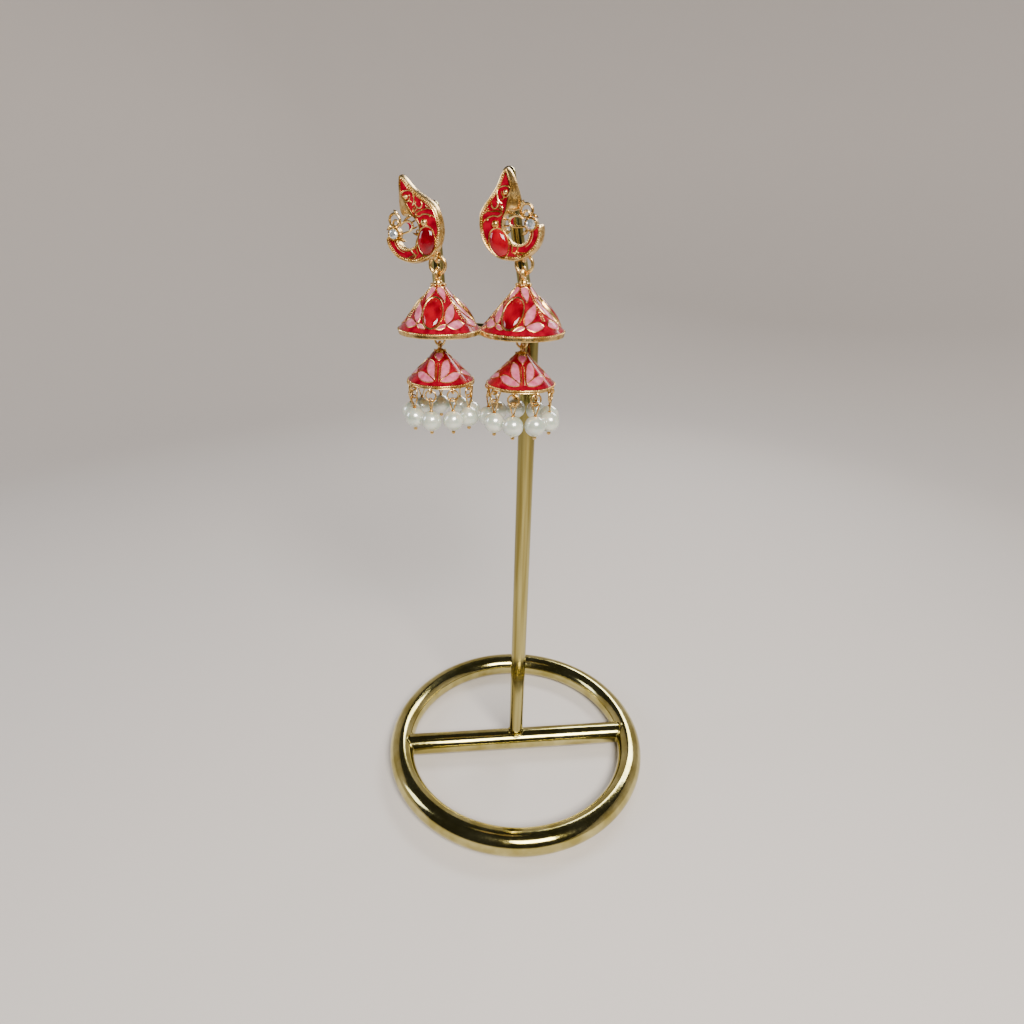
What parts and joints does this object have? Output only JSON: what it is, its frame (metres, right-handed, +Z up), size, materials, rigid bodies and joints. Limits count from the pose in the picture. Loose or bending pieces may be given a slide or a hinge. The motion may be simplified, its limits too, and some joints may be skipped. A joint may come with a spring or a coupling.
{
  "type": "pair of jhumka drop earrings on a display stand",
  "caption": "Two-tier bell earrings with pearl fringes, both hanging free from enamelled plume studs on a plain ring-footed display stand.",
  "frame": {"origin": "the middle of the base ring on the surface it stands on", "axes": "+Z up, -Y the way the earrings face, +X to the viewer's right"},
  "size_m": [0.0882, 0.0882, 0.1816],
  "materials": {
    "polished_gold_plate": "polished pale gold plate",
    "red_enamel_on_gold": "glossy red enamel in a gold casting",
    "glass_pearl": "pearl-coated glass, pale greenish white"
  },
  "bodies": {
    "stand": {"base_ring": "polished_gold_plate", "base_crossbar": "polished_gold_plate", "upright": "polished_gold_plate", "left_plate": "red_enamel_on_gold", "right_plate": "red_enamel_on_gold"},
    "left_drop": {"left_top_link": "polished_gold_plate", "left_upper_bell": "red_enamel_on_gold"},
    "left_lower_drop": {"left_mid_link": "polished_gold_plate", "left_lower_bell": "red_enamel_on_gold", "left_jump_ring_1": "polished_gold_plate", "left_jump_ring_2": "polished_gold_plate", "left_jump_ring_3": "polished_gold_plate", "left_jump_ring_4": "polished_gold_plate", "left_jump_ring_5": "polished_gold_plate", "left_jump_ring_6": "polished_gold_plate", "left_jump_ring_7": "polished_gold_plate", "left_jump_ring_8": "polished_gold_plate", "left_jump_ring_9": "polished_gold_plate", "left_pearl_drop_1": "glass_pearl", "left_pearl_drop_2": "glass_pearl", "left_pearl_drop_3": "glass_pearl", "left_pearl_drop_4": "glass_pearl", "left_pearl_drop_5": "glass_pearl", "left_pearl_drop_6": "glass_pearl", "left_pearl_drop_7": "glass_pearl", "left_pearl_drop_8": "glass_pearl", "left_pearl_drop_9": "glass_pearl"},
    "right_drop": {"right_top_link": "polished_gold_plate", "right_upper_bell": "red_enamel_on_gold"},
    "right_lower_drop": {"right_mid_link": "polished_gold_plate", "right_lower_bell": "red_enamel_on_gold", "right_jump_ring_1": "polished_gold_plate", "right_jump_ring_2": "polished_gold_plate", "right_jump_ring_3": "polished_gold_plate", "right_jump_ring_4": "polished_gold_plate", "right_jump_ring_5": "polished_gold_plate", "right_jump_ring_6": "polished_gold_plate", "right_jump_ring_7": "polished_gold_plate", "right_jump_ring_8": "polished_gold_plate", "right_jump_ring_9": "polished_gold_plate", "right_pearl_drop_1": "glass_pearl", "right_pearl_drop_2": "glass_pearl", "right_pearl_drop_3": "glass_pearl", "right_pearl_drop_4": "glass_pearl", "right_pearl_drop_5": "glass_pearl", "right_pearl_drop_6": "glass_pearl", "right_pearl_drop_7": "glass_pearl", "right_pearl_drop_8": "glass_pearl", "right_pearl_drop_9": "glass_pearl"}
  },
  "joints": [
    {"name": "left_drop_swing", "type": "hinge", "parent": "stand", "child": "left_drop", "pos_m": [-0.0189, -0.014, 0.1625], "axis": [-1, 0, 0], "range_deg": [-1, 20]},
    {"name": "left_lower_swing", "type": "hinge", "parent": "left_drop", "child": "left_lower_drop", "pos_m": [-0.0189, -0.014, 0.14493], "axis": [-1, 0, 0], "range_deg": [-1.5, 15]},
    {"name": "right_drop_swing", "type": "hinge", "parent": "stand", "child": "right_drop", "pos_m": [0.0019, -0.014, 0.1635], "axis": [-1, 0, 0], "range_deg": [-1, 20]},
    {"name": "right_lower_swing", "type": "hinge", "parent": "right_drop", "child": "right_lower_drop", "pos_m": [0.0019, -0.014, 0.14593], "axis": [-1, 0, 0], "range_deg": [-1.5, 15]}
  ]
}
